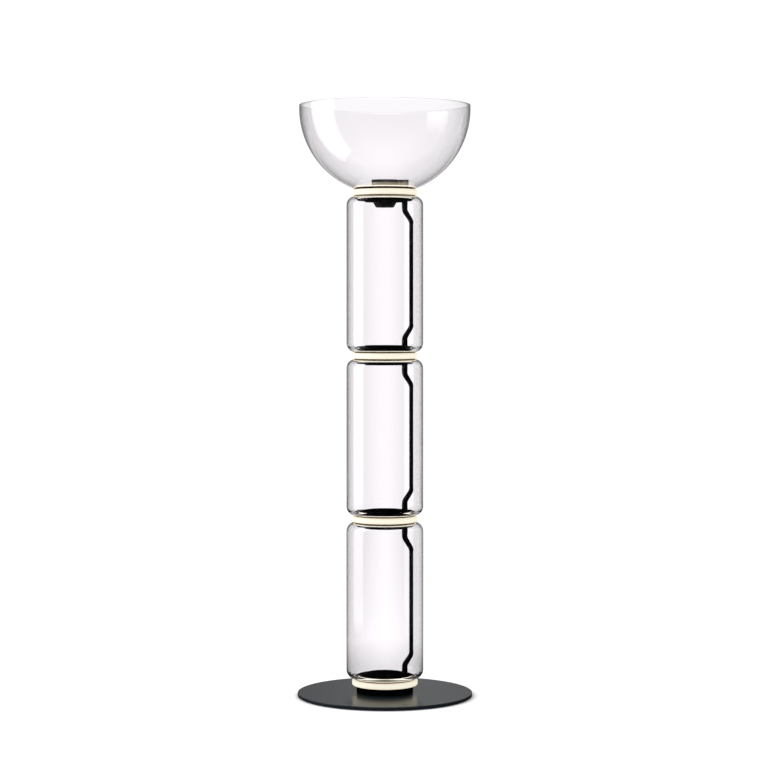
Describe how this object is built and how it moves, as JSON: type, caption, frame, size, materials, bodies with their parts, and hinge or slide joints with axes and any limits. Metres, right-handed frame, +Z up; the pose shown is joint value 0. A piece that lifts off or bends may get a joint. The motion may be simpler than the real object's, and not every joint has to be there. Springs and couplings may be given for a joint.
{
  "type": "floor lamp",
  "caption": "Floor lamp of stacked clear glass cylinders under an open glass bowl, with glowing rings at the joints on a flat round base.",
  "frame": {"origin": "floor level, at the centre of the base plate", "axes": "+Z up along the axis of the lamp, -Y towards the viewer of the picture, +X to the viewer's right"},
  "size_m": [0.568, 0.568, 1.9236],
  "materials": {
    "clear_glass": "clear blown glass",
    "opal_acrylic": "opal, lit from inside",
    "black_painted_aluminium": "cast aluminium with satin black paint",
    "graphite_painted_steel": "fine powder coat",
    "plain_aluminium": "machined",
    "black_rubber": "matt",
    "circuit_board": "white mask",
    "wire_insulation": "smooth",
    "black_oxide_steel": "black oxide",
    "black_moulded_plastic": "fine grained"
  },
  "bodies": {
    "lamp": {"base_hub": "black_painted_aluminium", "base_joint_core": "plain_aluminium", "base_joint_diffuser_ring": "opal_acrylic", "base_joint_led_strip": "circuit_board", "base_joint_screws": "black_oxide_steel", "base_joint_top_collar": "opal_acrylic", "base_joint_top_flange": "black_painted_aluminium", "base_joint_top_seal": "black_rubber", "base_plate": "graphite_painted_steel", "base_screws": "black_oxide_steel", "bowl": "clear_glass", "bowl_cover": "opal_acrylic", "bowl_joint_bottom_collar": "opal_acrylic", "bowl_joint_bottom_flange": "black_painted_aluminium", "bowl_joint_bottom_seal": "black_rubber", "bowl_joint_core": "plain_aluminium", "bowl_joint_diffuser_ring": "opal_acrylic", "bowl_joint_led_strip": "circuit_board", "bowl_joint_screws": "black_oxide_steel", "bowl_joint_top_seal": "black_rubber", "cable_gland": "black_moulded_plastic", "connector_block": "plain_aluminium", "connector_lid": "black_moulded_plastic", "driver_board": "circuit_board", "floor_glides": "black_rubber", "link_wires": "wire_insulation", "lower_cylinder": "clear_glass", "lower_joint_bottom_collar": "opal_acrylic", "lower_joint_bottom_flange": "black_painted_aluminium", "lower_joint_bottom_seal": "black_rubber", "lower_joint_core": "plain_aluminium", "lower_joint_diffuser_ring": "opal_acrylic", "lower_joint_led_strip": "circuit_board", "lower_joint_screws": "black_oxide_steel", "lower_joint_top_collar": "opal_acrylic", "lower_joint_top_flange": "black_painted_aluminium", "lower_joint_top_seal": "black_rubber", "lower_link_plugs": "black_moulded_plastic", "lower_link_tube": "black_moulded_plastic", "middle_cylinder": "clear_glass", "middle_link_plugs": "black_moulded_plastic", "middle_link_tube": "black_moulded_plastic", "uplight_board": "circuit_board", "upper_cylinder": "clear_glass", "upper_joint_bottom_collar": "opal_acrylic", "upper_joint_bottom_flange": "black_painted_aluminium", "upper_joint_bottom_seal": "black_rubber", "upper_joint_core": "plain_aluminium", "upper_joint_diffuser_ring": "opal_acrylic", "upper_joint_led_strip": "circuit_board", "upper_joint_screws": "black_oxide_steel", "upper_joint_top_collar": "opal_acrylic", "upper_joint_top_flange": "black_painted_aluminium", "upper_joint_top_seal": "black_rubber", "upper_link_plugs": "black_moulded_plastic", "upper_link_tube": "black_moulded_plastic"},
    "knob": {"clamp_knob": "black_moulded_plastic", "clamp_stud": "black_oxide_steel"},
    "cap": {"clamp_cap": "black_painted_aluminium", "clamp_sleeve": "plain_aluminium"}
  },
  "joints": [
    {"name": "clamp_knob_turn", "type": "hinge", "parent": "lamp", "child": "knob", "pos_m": [0, 0, 1.638], "axis": [0, 0, -1], "range_deg": [0, 720]},
    {"name": "clamp_cap_lift", "type": "slide", "parent": "lamp", "child": "cap", "axis": [0, 0, 1], "range_m": [0, 0.0036]}
  ],
  "couplings": [
    {"joint": "clamp_cap_lift", "follows": "clamp_knob_turn", "m_per_rad": 0.00027852}
  ]
}
